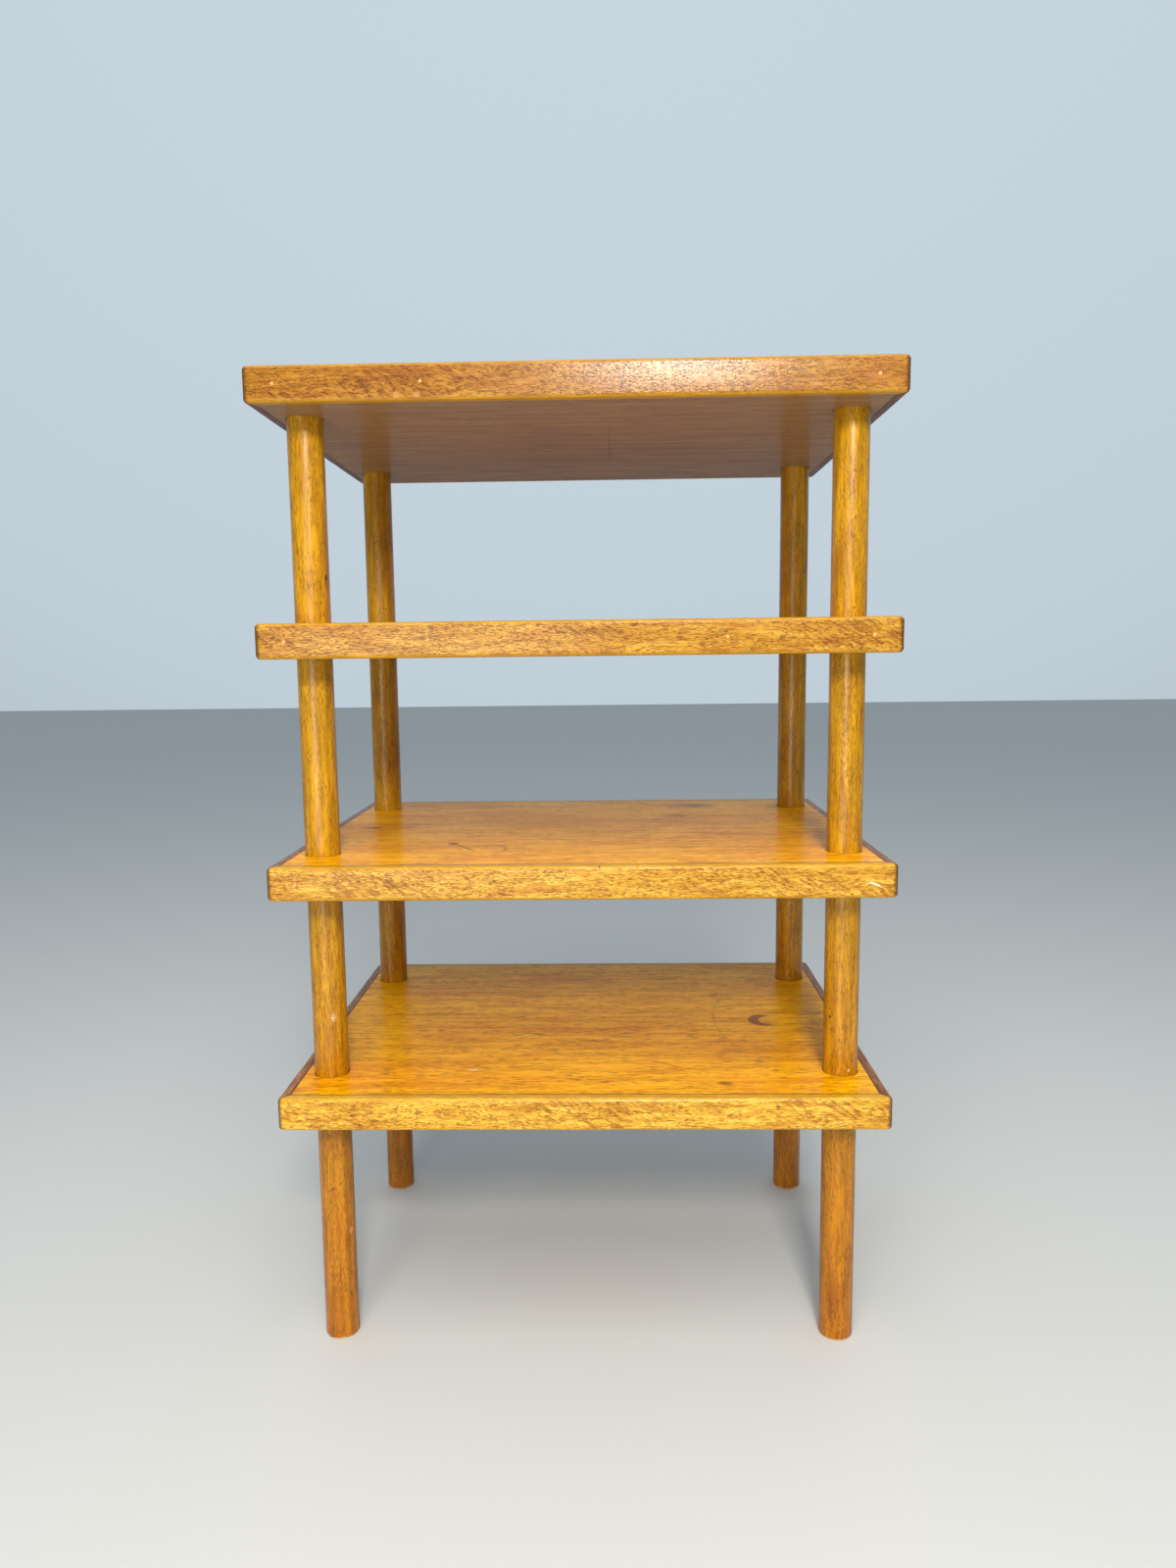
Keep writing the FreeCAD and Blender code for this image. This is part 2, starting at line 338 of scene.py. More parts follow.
def cornerDirtAndShade(tree, place, look):
    # darker round the upright corners of the shelves: varnish gathered and browned there, and painted shade
    # where the rounded corners turn from the light
    return dirtRound(tree, place, (shelfSide, shelfDepth), look["full"] / 1000, look["width"] / 1000)


def heightInShelf(tree, place):
    # height over the underside of whichever shelf it is, counted from a little below that underside
    level = addNode(tree, "SeparateXYZ", {}, {0: place}, output="Z")
    fromUnderside = addNode(tree, "Math", {"operation": "SUBTRACT", 1: firstCoreLow.z}, {0: level})
    return addNode(tree, "Math", {"operation": "WRAP", 1: shelfPitch - belowShelf, 2: -belowShelf},
                   {0: fromUnderside})


def arrisPaintedLight(tree, place, look):
    # the top and bottom of a lipping, painted yellower: painted light, for the rounded arris that turns from
    # the lamps and shows none of the sheen of the face
    inShelf = heightInShelf(tree, place)
    fromMiddle = addNode(tree, "Math", {"operation": "SUBTRACT", 1: shelfThickness / 2}, {0: inShelf})
    reach = addNode(tree, "Math", {"operation": "ABSOLUTE"}, {0: fromMiddle})
    return addNode(tree, "MapRange", {"interpolation_type": "SMOOTHSTEP",
                                      "From Min": shelfThickness / 2 - look["width"] / 1000,
                                      "From Max": shelfThickness / 2}, {"Value": reach})


def undersidePaintedShade(tree, place, look):
    # the undersides painted darker and greyer than the tops: painted shade, greyed as a painted reflection
    return addNode(tree, "Math", {"operation": "LESS_THAN", 1: shelfThickness / 2},
                   {0: heightInShelf(tree, place)})


def paintedShadeTowardsTop(tree, place, look):
    # from 0 at the lowest shelf to 1 at the highest. Used as painted shade, darkening the upper lippings for
    # the light that falls less on them
    level = addNode(tree, "SeparateXYZ", {}, {0: place}, output="Z")
    return addNode(tree, "MapRange", {"From Min": firstCoreHigh.z, "From Max": cadHigh.z}, {"Value": level})


def towardsFoot(tree, place, look):
    # from 0 in the middle of the rack to 1 at the floor
    level = addNode(tree, "SeparateXYZ", {}, {0: place}, output="Z")
    return addNode(tree, "MapRange", {"From Min": cadHigh.z / 2, "From Max": cadLow.z}, {"Value": level})


def footWear(tree, place, look):
    # bare wood at the knocked rim of a foot, up to a ragged line
    level = addNode(tree, "SeparateXYZ", {}, {0: place}, output="Z")
    ragged = addNode(tree, "TexNoise", {"Scale": 1000 / look["grit"], "Detail": 2.0}, {"Vector": place})
    height = addNode(tree, "Math", {"operation": "MULTIPLY", 1: 2 * look["width"] / 1000}, {0: ragged})
    under = addNode(tree, "Math", {"operation": "SUBTRACT"}, {0: height, 1: level})
    return addNode(tree, "MapRange", {"From Max": look["fade"] / 1000}, {"Value": under})


def varnishedWood(name, look, grain):
    material, tree = newMaterial(name)
    place = addNode(tree, "TexCoord", output="Object")

    # the grain wanders a little across as it runs along
    sway = grainNoise(tree, place, grain, look["wander"]).node.outputs["Color"]
    shift = addNode(tree, "VectorMath", {"operation": "MULTIPLY_ADD", 1: [look["wanderBy"] / 1000] * 3},
                    {0: sway, 2: place})

    figure = grainMask(tree, shift, grain, look["figure"])
    colour = addNode(tree, "ValToRGB", {}, {"Fac": figure}, ramp=look["colours"])
    relief = None
    for layer in look["layers"]:
        mask = grainMask(tree, shift, grain, layer)
        colour = stain(tree, colour, mask, layer)
        if "depth" in layer:
            under = {"Normal": relief} if relief else {}
            relief = addNode(tree, "Bump", {"Strength": 1.0, "Distance": -layer["depth"] / 1000},
                             {"Height": mask, **under})
    for shape, wear in look["wear"]:
        colour = stain(tree, colour, shape(tree, place, wear), wear)
    for mark in look["marks"]:
        colour = stain(tree, colour, markMask(tree, place, mark), mark)

    # the varnish has its own orange peel over the grain
    smooth, dull = look["roughness"]
    rough = addNode(tree, "MapRange", {"To Min": dull, "To Max": smooth}, {"Value": figure})
    peel = addNode(tree, "TexNoise", {"Scale": 1000 / look["peel"], "Detail": 1.0}, {"Vector": place})
    coatRelief = addNode(tree, "Bump", {"Strength": 1.0, "Distance": look["peelDepth"] / 1000},
                         {"Height": peel, "Normal": relief})
    shader = addNode(tree, "BsdfPrincipled",
                     {"IOR": 1.5, "Coat Weight": look["coat"], "Coat Roughness": look["coatRoughness"],
                      "Coat IOR": look["coatIor"], "Specular IOR Level": look["specular"],
                      "Specular Tint": linearColour(look["tint"])},
                     {"Base Color": colour, "Roughness": rough, "Normal": relief, "Coat Normal": coatRelief})
    addNode(tree, "OutputMaterial", {}, {"Surface": shader})
    return material


# Boards: mahogany-faced plywood under old amber varnish. It gives a deep golden orange ground with
# short brown pores, soft streaks from left to right, a few long dark lines and a soft gloss

boardLook = {
    "wander": (90, 30), "wanderBy": 5,
    "figure": {"size": (60, 5), "range": (0.3, 0.7), "detail": 4.0},
    # the ground is paler than the lippings': partly the veneer's own tone, partly painted light that lifts
    # the tops, which take less light than the fronts
    "colours": [(0.0, "#e6a200"), (0.5, "#f5ae02"), (1.0, "#ffbc0a")],
    "layers": [
        {"size": (140, 26), "range": (0.46, 0.74), "colour": "#dca850", "share": 0.42, "kind": "MULTIPLY"},
        {"size": (50, 30), "range": (0.5, 0.75), "colour": "#e8c890", "share": 0.4, "kind": "MULTIPLY"},
        {"size": (26, 1.4), "range": (0.5, 0.68), "colour": "#d09838", "share": 0.5, "kind": "MULTIPLY"},
        {"size": (230, 13), "line": 0.008, "colour": "#6a3c10", "share": 0.65, "detail": 1.0,
         "where": {"size": (60, 25), "range": (0.5, 0.6)}},
        {"size": (7.5, 0.7), "range": (0.545, 0.6), "colour": "#6e3c06", "share": 0.62, "depth": 0.04,
         "where": {"size": (40, 12), "range": (0.28, 0.5)}},
    ],
    "wear": [
        (seamDirt, {"width": 0.9, "mitres": False, "colour": "#34200c", "share": 0.85}),
        (boreDirt, {"width": 0.9, "colour": "#4a2a12", "share": 0.75}),
        # painted shade and reflection on the undersides of the boards
        (undersidePaintedShade, {"colour": "#6a6058", "share": 0.78}),
    ],
    "marks": [
        # lowest board: a dark crescent, a faint ring, a knot, a scratch and a scuff
        {"at": (116.8, -4.5, 165.5), "size": (9.8, 11.4, 2), "soft": 0.12,
         "colour": "#7c4406", "share": 0.85,
         "bite": {"at": (123.2, -4.6, 165.5), "size": (9.4, 8.0, 2), "soft": 0.12}},
        {"at": (120, -5, 165.5), "size": (36.4, 70, 2), "soft": 0.03, "colour": "#8a5410", "share": 0.25,
         "bite": {"at": (121.4, -5, 165.5), "size": (36.4, 70, 2), "soft": 0.03}},
        {"at": (81, -109, 165.5), "size": (6, 3.5, 2), "colour": "#6a3a0c", "share": 0.7},
        {"at": (47, -79, 165.5), "size": (15, 1, 2), "turn": (0, 0, -0.55),
         "colour": "#7a4a10", "share": 0.5},
        {"at": (-66, -89, 165.5), "size": (4, 3, 2), "colour": "#f8e4b8", "share": 0.8, "grit": 0.8},
        # second board: two brown patches, a small knot with a thin line, a dark line and a smear
        {"at": (81, 94, 297), "size": (20, 16, 2), "soft": 0.9, "colour": "#7a4a14", "share": 0.7},
        {"at": (63, 47, 297), "size": (14, 12, 2), "soft": 0.9, "colour": "#7a4a14", "share": 0.6},
        {"at": (-79, -59.5, 297), "size": (4.5, 4, 2), "colour": "#3c2008", "share": 0.9},
        {"at": (-69.5, -74, 297), "size": (17, 1.4, 2), "turn": (0, 0, -1.0),
         "colour": "#6a3e10", "share": 0.7},
        {"at": (-143, 2, 297), "size": (10, 4, 2), "colour": "#5a3210", "share": 0.7},
        {"at": (61, -78, 297), "size": (10, 8, 2), "soft": 0.9, "colour": "#a06a20", "share": 0.4},
        {"at": (-57, -79, 297), "size": (14, 18, 2), "soft": 0.12, "colour": "#8a5410", "share": 0.48,
         "bite": {"at": (-59.4, -81, 297), "size": (14, 17, 2), "soft": 0.12}},
        # underside of the top board: specks, a streak like a knot and a faint crack
        {"at": (-34, -111, 541), "size": (1.3, 1.3, 2), "colour": "#3a2210", "share": 0.7},
        {"at": (-27, -66, 541), "size": (1.2, 1.2, 2), "colour": "#3a2210", "share": 0.7},
        {"at": (-144, -29, 541), "size": (1.4, 1.4, 2), "colour": "#3a2210", "share": 0.7},
        {"at": (-69.5, -86, 541), "size": (8, 2, 2), "colour": "#5a3818", "share": 0.55},
        {"at": (18, 2, 541), "size": (0.6, 88, 2), "colour": "#5a3818", "share": 0.45},
    ],
    "roughness": (0.38, 0.5), "peel": 2.2, "peelDepth": 0.01,
    "coat": 0.22, "coatRoughness": 0.2, "coatIor": 1.5, "specular": 0.03, "tint": "#ffffff",
}

# Lippings: solid mahogany, sanded round and varnished. They give fine brown dashes on an even golden
# ground, a slanting shimmer where the grain is interlocked, a yellower line painted at the arrises for
# the light there, and painted shade that darkens them towards the top shelf

lippingLook = {
    "wander": (30, 10), "wanderBy": 4,
    "figure": {"size": (22, 2.6), "range": (0.3, 0.7), "detail": 3.0},
    "colours": [(0.0, "#c29428"), (0.5, "#d2a434"), (1.0, "#e0b848")],
    "layers": [
        {"size": (34, 8), "range": (0.48, 0.72), "colour": "#dcac8c", "share": 0.45, "kind": "MULTIPLY"},
        {"size": (9, 1.5), "turn": (0, 0.6, 0), "range": (0.46, 0.66), "colour": "#b08058", "share": 0.6,
         "kind": "MULTIPLY", "where": {"size": (80, 30), "range": (0.46, 0.56)}},
        {"size": (5, 0.7), "range": (0.5, 0.62), "colour": "#b07838", "share": 0.6, "kind": "MULTIPLY"},
        {"size": (60, 7), "line": 0.008, "colour": "#6a3c14", "share": 0.35,
         "where": {"size": (30, 10), "range": (0.5, 0.62)}},
        {"size": (2.3, 0.46), "range": (0.54, 0.6), "colour": "#5a340e", "share": 0.68, "depth": 0.05,
         "where": {"size": (20, 6), "range": (0.26, 0.5)}},
    ],
    "wear": [
        # painted shade: the lippings darker and browner towards the top shelf
        (paintedShadeTowardsTop, {"colour": "#b49a88", "share": 0.95, "kind": "MULTIPLY"}),
        # painted light: a yellower line along the arrises, where they show no sheen
        (arrisPaintedLight, {"width": 2.4, "colour": "#cc9a24", "share": 0.6}),
        (cornerDirtAndShade, {"full": 1.0, "width": 3.6, "colour": "#4a2a0c", "share": 0.75}),
        (seamDirt, {"width": 0.9, "mitres": True, "colour": "#34200c", "share": 0.85}),
    ],
    "marks": [
        # top shelf: a hairline crack, two spots, two slanting streaks and a redder patch
        {"at": (25.3, -130, 552), "size": (0.55, 3, 9), "turn": (0, 0.125, 0),
         "colour": "#3c2008", "share": 0.85},
        {"at": (-91.5, -130, 544), "size": (2.4, 2, 2.2), "colour": "#b08048", "share": 0.6},
        {"at": (-80.9, -130, 544), "size": (2.2, 2, 2.2), "colour": "#b08048", "share": 0.6},
        {"at": (76.2, -130, 550), "size": (12, 3, 1.5), "turn": (0, 0.49, 0),
         "colour": "#744212", "share": 0.8, "grit": 0.7},
        {"at": (121, -130, 549.5), "size": (14, 3, 1.6), "turn": (0, 0.5, 0),
         "colour": "#744212", "share": 0.75, "grit": 0.7},
        {"at": (152.9, -130, 549.7), "size": (12, 3, 6), "soft": 0.9, "colour": "#a06030", "share": 0.3},
        # second shelf: a white scuff and a tick in the arris. First and third: small dark spots
        {"at": (158.4, -130, 286.1), "size": (6, 2, 0.7), "turn": (0, 0.41, 0),
         "colour": "#f8e8cc", "share": 0.8},
        {"at": (10.4, -129.3, 296.3), "size": (0.7, 2, 2), "colour": "#4a2a10", "share": 0.8},
        {"at": (108, -130, 160.3), "size": (1.5, 2, 1.4), "colour": "#5a3210", "share": 0.7},
        {"at": (4, -130, 421.5), "size": (1.8, 2, 1.0), "colour": "#5a3210", "share": 0.6},
        {"at": (167, -130, 412.5), "size": (1.6, 2, 1.2), "colour": "#5a3210", "share": 0.6},
    ],
    "roughness": (0.38, 0.5), "peel": 1.6, "peelDepth": 0.03,
    "coat": 0.28, "coatRoughness": 0.2, "coatIor": 1.6, "specular": 0.1, "tint": "#ffffff",
}

# the side lippings are painted darker and browner: partly a redder wood, partly painted shade for their dim,
# grazing tops. They have no yellow line painted at their arrises
sideLippingLook = dict(lippingLook)
sideLippingLook["colours"] = [(0.0, "#885626"), (0.5, "#9a6430"), (1.0, "#ac743c")]
sideLippingLook["wear"] = [(shape, wear) for shape, wear in lippingLook["wear"] if shape != arrisPaintedLight]
sideLippingLook["marks"] = []

# Posts: turned hardwood dowel under amber varnish. It gives fine upright dashes on gold, redder
# towards the feet, and a highlight broken up by the orange peel of the varnish

postLook = {
    "wander": (60, 12), "wanderBy": 2,
    "figure": {"size": (40, 3.0), "range": (0.3, 0.7), "detail": 3.0},
    "colours": [(0.0, "#a2760a"), (0.5, "#b4840c"), (1.0, "#c49416")],
    "layers": [
        {"size": (40, 12), "range": (0.48, 0.72), "colour": "#c8a058", "share": 0.45, "kind": "MULTIPLY"},
        {"size": (8, 0.9), "range": (0.5, 0.66), "colour": "#b88838", "share": 0.5, "kind": "MULTIPLY"},
        {"size": (2.6, 0.5), "range": (0.53, 0.6), "colour": "#5a380a", "share": 0.6, "depth": 0.04,
         "where": {"size": (20, 8), "range": (0.3, 0.55)}},
    ],
    "wear": [
        (towardsFoot, {"colour": "#f6cc98", "share": 1.0, "kind": "MULTIPLY"}),
        (footWear, {"width": 1.2, "fade": 0.4, "grit": 2.0, "colour": "#d0b080", "share": 0.8}),
    ],
    "marks": [
        # front left: a dark red nick, two streaks, two scuffs, two spots and thicker varnish low down
        {"at": (-141.2, -93.7, 454.4), "size": (1.6, 1.6, 2.4), "colour": "#46120c", "share": 0.9},
        {"at": (-157.4, -97.2, 493), "size": (0.7, 1, 4), "colour": "#6a420c", "share": 0.6},
        {"at": (-154.9, -98.9, 469), "size": (0.6, 1, 3.5), "colour": "#6a420c", "share": 0.6},
        {"at": (-146.1, -98.9, 201.8), "size": (1.7, 2, 3.4),
         "colour": "#f4e6cc", "share": 0.8, "grit": 0.5},
        {"at": (-141.8, -94.8, 67.5), "size": (1.2, 1.6, 2.6),
         "colour": "#f4e0bc", "share": 0.7, "grit": 0.7},
        {"at": (-150.4, -100, 96.4), "size": (1.1, 1, 1.3), "colour": "#4a2a0c", "share": 0.8},
        {"at": (-146.0, -98.9, 99), "size": (1.0, 1, 1.0), "colour": "#4a2a0c", "share": 0.6},
        {"at": (-150.5, -100, 13.6), "size": (9, 6, 7), "soft": 0.9, "colour": "#a86408", "share": 0.6},
        # front right: spots, a redder patch and pale chips where it meets the lowest shelf
        {"at": (142.8, -96.4, 200.4), "size": (1.2, 1.2, 1.4), "colour": "#4a2a0c", "share": 0.8},
        {"at": (144.0, -97.6, 209.6), "size": (2.2, 2, 3.4), "colour": "#b04c14", "share": 0.6},
        {"at": (153.8, -99.5, 169), "size": (1.6, 1.2, 1.2), "colour": "#f4e0bc", "share": 0.8, "grit": 0.7},
        {"at": (150.5, -100, 507.6), "size": (0.9, 1, 0.9), "colour": "#4a2a0c", "share": 0.7},
        {"at": (151.6, -100, 434.4), "size": (0.9, 1, 0.9), "colour": "#4a2a0c", "share": 0.7},
    ],
    "roughness": (0.32, 0.42), "peel": 1.2, "peelDepth": 0.06,
    "coat": 0.3, "coatRoughness": 0.28, "coatIor": 1.8, "specular": 0.18, "tint": "#ffe2a8",
}

boardWood = varnishedWood("mahogany_faced_ply_amber_varnish", boardLook, "x")
longLippingWood = varnishedWood("mahogany_lipping_amber_varnish", lippingLook, "x")
sideLippingWood = varnishedWood("mahogany_side_lipping_amber_varnish", sideLippingLook, "y")
postWood = varnishedWood("hardwood_dowel_amber_varnish", postLook, "z")


# Putty: linseed putty tinted to the wood. It gives small pale dots, chalky and quite dull

puttyLook = {
    "grit": 0.6, "gritDepth": 0.03,     # millimetres
    "colours": [(0.35, "#ae7e2c"), (0.65, "#cc9c48")],
    "roughness": 0.6, "coat": 0.3, "coatRoughness": 0.3,
}


def tintedPutty():
    material, tree = newMaterial("tinted_linseed_putty")
    place = addNode(tree, "TexCoord", output="Object")
    chalk = addNode(tree, "TexNoise", {"Scale": 1000 / puttyLook["grit"], "Detail": 2.0}, {"Vector": place})
    colour = addNode(tree, "ValToRGB", {}, {"Fac": chalk}, ramp=puttyLook["colours"])
    relief = addNode(tree, "Bump", {"Strength": 1.0, "Distance": puttyLook["gritDepth"] / 1000},
                     {"Height": chalk})
    shader = addNode(tree, "BsdfPrincipled",
                     {"Roughness": puttyLook["roughness"], "Coat Weight": puttyLook["coat"],
                      "Coat Roughness": puttyLook["coatRoughness"]},
                     {"Base Color": colour, "Normal": relief})
    addNode(tree, "OutputMaterial", {}, {"Surface": shader})
    return material


# Brads: drawn mild steel wire, a mottled grey

steelLook = {
    "mottle": 0.4,                      # millimetres
    "colours": [(0.3, "#7d7f80"), (0.7, "#a9abac")],
    "roughness": (0.3, 0.45),
}


def drawnSteel():
    material, tree = newMaterial("drawn_mild_steel")
    place = addNode(tree, "TexCoord", output="Object")
    mottle = addNode(tree, "TexNoise", {"Scale": 1000 / steelLook["mottle"], "Detail": 2.0},
                     {"Vector": place})
    colour = addNode(tree, "ValToRGB", {}, {"Fac": mottle}, ramp=steelLook["colours"])
    (darkest, _), (palest, _) = steelLook["colours"]
    smooth, dull = steelLook["roughness"]
    rough = addNode(tree, "MapRange", {"From Min": darkest, "From Max": palest,
                                       "To Min": smooth, "To Max": dull}, {"Value": mottle})
    shader = addNode(tree, "BsdfPrincipled", {"Metallic": 1.0}, {"Base Color": colour, "Roughness": rough})
    addNode(tree, "OutputMaterial", {}, {"Surface": shader})
    return material


putty = tintedPutty()
steel = drawnSteel()
print("materials made")


# Boards

boardCut = {
    "seamEase": 0.00012,     # half of the fine groove between board and lipping
    "glueGap": 0.0001,       # how much the bore clears the post, all round
    "boreEase": 0.0003,      # the softened mouth of each bore
    "boreSides": 96,
    "easeSteps": 2,
    "overcut": 0.002,        # how far a cutter stands past the face that it goes through
}


def makeBoard(shelf):
    low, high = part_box(f"shelf_{shelf}_core")
    board = addBlock(f"shelf_{shelf}_veneered_board", low, high)
    openMesh(board)
    pick("EDGE", lambda edge: abs(ends(edge)[0].z - ends(edge)[1].z) < tiny)
    bpy.ops.mesh.bevel(offset=boardCut["seamEase"], segments=1)
    closeMesh()

    boreRadius = postRadius + boardCut["glueGap"]
    cutTop = min(high.z + boardCut["overcut"], firstPostHigh.z)    # the top board's bores are blind
    cutBottom = low.z - boardCut["overcut"]
    for post in postNames:
        postLow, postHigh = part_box(post)
        axis = (postLow + postHigh) / 2
        cutter = addRod("bore_cutter", (axis.x, axis.y, cutBottom), cutTop - cutBottom, boreRadius,
                        boardCut["boreSides"])
        cutWith(board, cutter)
        throwAway(cutter)

    def onMouth(edge):
        first, second = ends(edge)
        level = abs(first.z - second.z) < tiny
        onFace = min(abs(first.z - low.z), abs(first.z - high.z)) < tiny
        reach = [math.hypot(abs(p.x) - postSide, abs(p.y) - postDepth) for p in (first, second)]
        return level and onFace and all(abs(r - boreRadius) < tiny for r in reach)

    openMesh(board)
    pick("EDGE", onMouth)
    bpy.ops.mesh.bevel(offset=boardCut["boreEase"], segments=boardCut["easeSteps"])
    closeMesh()
    smoothShade(board)
    fit(board, boardWood, "board_face", f"shelf_{shelf}_core")


# Lippings

lippingCut = {
    "cornerRadius": 0.003, "cornerSteps": 6,
    "arrisRadius": 0.002, "arrisSteps": 5,
    "seamEase": 0.00012,
    "longEdge": 0.1,         # edges over this run along a side, and are cut up
    "stations": 40,          # into one more stretch than this, for the wear of the arrises
    "wearDepth": 0.0004,     # the deepest that an arris is rubbed away
    "wearLength": 0.022,     # how long the worn stretches are
    "nailRadius": 0.00095, "nailDepth": 0.0012, "nailSides": 24,
    "nailFromEnd": 0.016,    # the outer nails of a long side, from its end
    "nailFromMiddle": 0.079,     # and the inner ones, from its middle
    "nailFromPost": 0.0055,  # the outer nails of a short side, from the near side of a post
}


def nailPlaces(shelf):
    # where each plug of putty is, on the outside of the lippings, and the way into the wood there
    low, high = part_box(f"shelf_{shelf}_core")
    side, depth, middle = shelfSide, shelfDepth, (low.z + high.z) / 2
    places = []
    for facing in (-1, 1):
        for x in (side - lippingCut["nailFromEnd"], lippingCut["nailFromMiddle"]):
            for sign in (-1, 1):
                places.append((Vector((sign * x, facing * depth, middle)), Vector((0, -facing, 0))))
        outermost = postDepth - postRadius - lippingCut["nailFromPost"]
        for y in (-outermost, 0, outermost):
            places.append((Vector((facing * side, y, middle)), Vector((-facing, 0, 0))))
    return places


def makeRoundedBlank(shelf):
    coreLow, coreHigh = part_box(f"shelf_{shelf}_core")
    low = Vector((-shelfSide, -shelfDepth, coreLow.z))
    high = Vector((shelfSide, shelfDepth, coreHigh.z))
    blank = addBlock("rounded_blank", low, high)
    openMesh(blank)
    pick("EDGE", lambda edge: abs(ends(edge)[0].z - ends(edge)[1].z) > tiny)
    bpy.ops.mesh.bevel(offset=lippingCut["cornerRadius"], segments=lippingCut["cornerSteps"])
    pick("EDGE", lambda edge: abs(ends(edge)[0].z - ends(edge)[1].z) < tiny)
    bpy.ops.mesh.bevel(offset=lippingCut["arrisRadius"], segments=lippingCut["arrisSteps"])
    pick("EDGE", lambda edge: (ends(edge)[0] - ends(edge)[1]).length > lippingCut["longEdge"])
    bpy.ops.mesh.subdivide(number_cuts=lippingCut["stations"])
    closeMesh()

    # the arrises are rubbed unevenly, always inwards
    arris = blank.vertex_groups.new(name="arris")
    for vertex in blank.data.vertices:
        fromFace = min(high.z - vertex.co.z, vertex.co.z - low.z)
        fromSide = min(high.x - abs(vertex.co.x), high.y - abs(vertex.co.y))
        rounded = lippingCut["arrisRadius"] - tiny
        if tiny < fromFace < rounded and fromSide < rounded:
            arris.add([vertex.index], 1.0, "REPLACE")
    rub = bpy.data.textures.new("rubbed_arris", type="CLOUDS")
    rub.noise_scale = lippingCut["wearLength"]
    applied(blank, "DISPLACE", texture=rub, texture_coords="LOCAL", vertex_group="arris",
            strength=lippingCut["wearDepth"], mid_level=1.0)
    return blank


def makeLippings(shelf, plugCutter):
    low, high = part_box(f"shelf_{shelf}_core")
    blank = makeRoundedBlank(shelf)
    for side in ("front", "back", "left", "right"):
        # each strip is what is left of the blank outside the board and between two mitres
        facing = -1 if side in ("front", "left") else 1
        across = Vector((0, facing, 0)) if side in ("front", "back") else Vector((facing, 0, 0))
        along = Vector((across.y, across.x, 0)).normalized()
        innerPoint = Vector((facing * high.x, facing * high.y, 0))
        planes = [(innerPoint, -across)]
        for end in (-1, 1):
            towardsCorner = end * along + across
            corner = Vector((shelfSide * towardsCorner.x, shelfDepth * towardsCorner.y, 0))
            planes.append((corner, (end * along - across).normalized()))
        strip = copyOf(blank, f"shelf_{shelf}_edge_strip_{side}")
        openMesh(strip)
        for point, outward in planes:
            bpy.ops.mesh.select_mode(type="VERT")
            bpy.ops.mesh.select_all(action="SELECT")
            bpy.ops.mesh.bisect(plane_co=point, plane_no=outward, use_fill=True, clear_outer=True)

        def onSeam(edge):
            return any(all(abs((end - point).dot(outward)) < tiny for end in ends(edge))
                       for point, outward in planes)

        pick("EDGE", onSeam)
        bpy.ops.mesh.bevel(offset=lippingCut["seamEase"], segments=1)
        closeMesh()
        cutWith(strip, plugCutter)
        smoothShade(strip)
        wood = longLippingWood if side in ("front", "back") else sideLippingWood
        fit(strip, wood, "lipping_wood", f"shelf_{shelf}_lipping_{side}")
    throwAway(blank)


# Putty plugs, each a little sunk in its nail hole

puttyCut = {
    "sink": 0.00006,         # how far the rim is under the wood
    "dish": 0.00008,         # how far the face is under the rim, with a third as much again in its middle
    "rim": 0.0003,           # the width of each step of the dish
    "clear": 0.00002,        # how much smaller the plug is than its hole, all round
}


def makePlug():
    # one plug facing -Y at the origin, its face a shallow dish
    radius, depth = lippingCut["nailRadius"], lippingCut["nailDepth"]
    plug = addRod("putty_plug", (0, puttyCut["sink"], 0), depth - puttyCut["sink"],
                  radius - puttyCut["clear"], lippingCut["nailSides"], direction=(0, 1, 0))
    openMesh(plug)
    pick("FACE", lambda face: face.normal.y < -1 + tiny)
    bpy.ops.mesh.inset(thickness=puttyCut["rim"])
    bpy.ops.transform.translate(value=(0, puttyCut["dish"], 0))
    bpy.ops.mesh.inset(thickness=puttyCut["rim"])
    bpy.ops.transform.translate(value=(0, puttyCut["dish"] / 3, 0))
    closeMesh()
    return plug


def makePlugs(shelf, plug):
    copies = []
    for place, inward in nailPlaces(shelf):
        twin = copyOf(plug, "plug_copy")
        twin.location = place
        twin.rotation_euler = Vector((0, 1, 0)).rotation_difference(inward).to_euler()
        copies.append(twin)
    plugs = joinAll(copies, f"shelf_{shelf}_nail_putty")
    takeUp(plugs)
    bpy.ops.object.transform_apply(location=True, rotation=True, scale=True)
    smoothShade(plugs)
    fit(plugs, putty, "wood_putty", f"shelf_{shelf}_putty")


def makePlugCutter(shelf):
    # what sinks the nail holes into the lippings of one shelf, all in one piece
    cutters = []
    for place, inward in nailPlaces(shelf):
        start = place - inward * boardCut["overcut"]
        cutters.append(addRod("nail_cutter", start, lippingCut["nailDepth"] + boardCut["overcut"],
                              lippingCut["nailRadius"], lippingCut["nailSides"], direction=inward))
    return joinAll(cutters, "nail_cutters")


plug = makePlug()
for shelf in shelfNumbers:
    makeBoard(shelf)
    plugCutter = makePlugCutter(shelf)
    makeLippings(shelf, plugCutter)
    throwAway(plugCutter)
    makePlugs(shelf, plug)
    print("shelf", shelf, "made")
throwAway(plug)


# Posts

postCut = {
    "sides": 72,
    "endEase": 0.0008, "easeSteps": 3,
    "stations": 48,                              # cuts along the length, for the wobble
    "wobble": 0.00012, "wobbleLength": 0.06,     # a dowel is never quite true
    "chipDepth": 0.0012, "chipSize": 0.006,      # the foot's rim is knocked
    "chipLevel": 0.75,                           # noise under this knocks it inwards
    "turns": (0, 137, 251, 68),                  # degrees, so that no two posts show the same side
}


